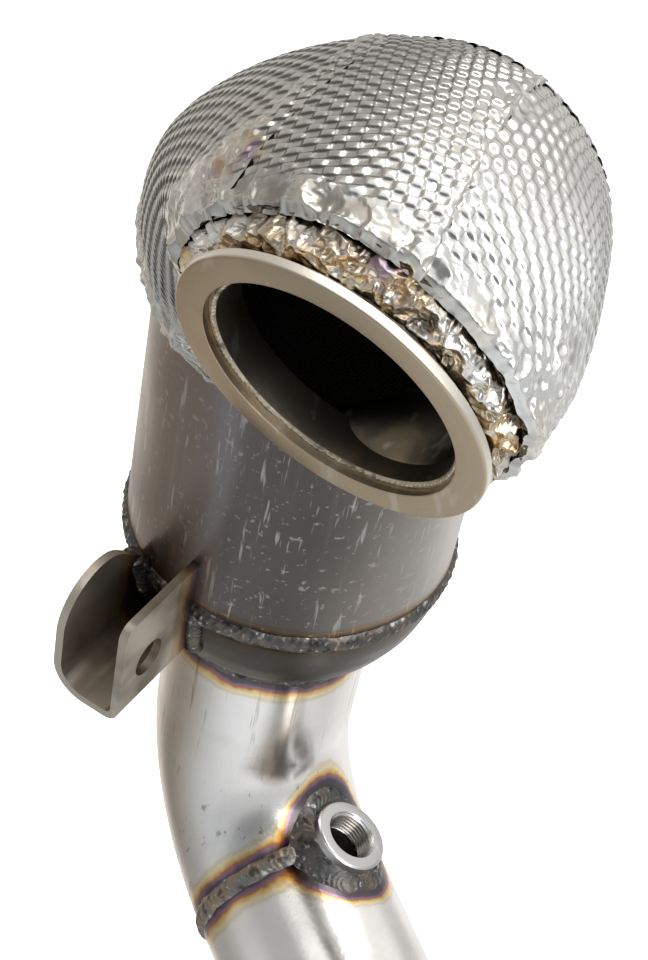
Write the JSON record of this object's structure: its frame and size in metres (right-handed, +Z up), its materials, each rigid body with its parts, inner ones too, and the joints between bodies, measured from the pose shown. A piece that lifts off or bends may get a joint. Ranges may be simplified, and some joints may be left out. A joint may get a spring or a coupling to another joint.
{
  "type": "catalyst downpipe",
  "caption": "Welded stainless downpipe: V-band inlet into a foil-wrapped insulated dome, catalyst can, cone and bent outlet pipe with a sensor bung and a folded bracket.",
  "frame": {"origin": "centre of the inlet flange's sealing face", "axes": "+Z up along the catalyst can's axis; the inlet faces -Y and 19.3 degrees down; the lower pipe leaves towards +X and -Y"},
  "size_m": [0.1978, 0.1612, 0.3957],
  "materials": {
    "flange_steel": "turned, straw heat tint",
    "weld_steel": "rippled weld metal, oxide grey",
    "inlet_steel": "heat-tinted sheet",
    "can_steel": "satin rolled sheet",
    "brick_foil": "coated corrugated foil",
    "pipe_steel": "polished tube with heat tint",
    "bung_steel": "bright machined",
    "bracket_steel": "mill-finish sheet",
    "insulation": "needled ceramic fibre",
    "shield_foil": "embossed bright foil"
  },
  "bodies": {
    "root": {"inlet_flange": "flange_steel", "inlet_lip_weld": "weld_steel", "inlet_neck_tube": "inlet_steel", "neck_weld": "weld_steel", "dome_front_shell": "inlet_steel", "dome_rear_shell": "inlet_steel", "dome_seam_weld": "weld_steel", "catalyst_can": "can_steel", "can_inlet_weld": "weld_steel", "catalyst_brick": "brick_foil", "brick_mantle": "inlet_steel", "brick_ring_lower": "inlet_steel", "brick_ring_upper": "inlet_steel", "outlet_cone": "can_steel", "cone_can_weld": "weld_steel", "cone_pipe_weld": "weld_steel", "upper_pipe": "pipe_steel", "lower_pipe": "pipe_steel", "joint_weld": "weld_steel", "sensor_bung": "bung_steel", "sensor_bung_weld": "weld_steel", "mounting_bracket": "bracket_steel", "bracket_weld_front": "weld_steel", "bracket_weld_back": "weld_steel", "insulation_mat_front": "insulation", "insulation_mat_rear": "insulation", "heat_shield_centre": "shield_foil", "heat_shield_left": "shield_foil", "heat_shield_right": "shield_foil", "heat_shield_rear": "shield_foil", "heat_shield_collar": "shield_foil", "heat_shield_hem": "shield_foil"}
  },
  "joints": []
}
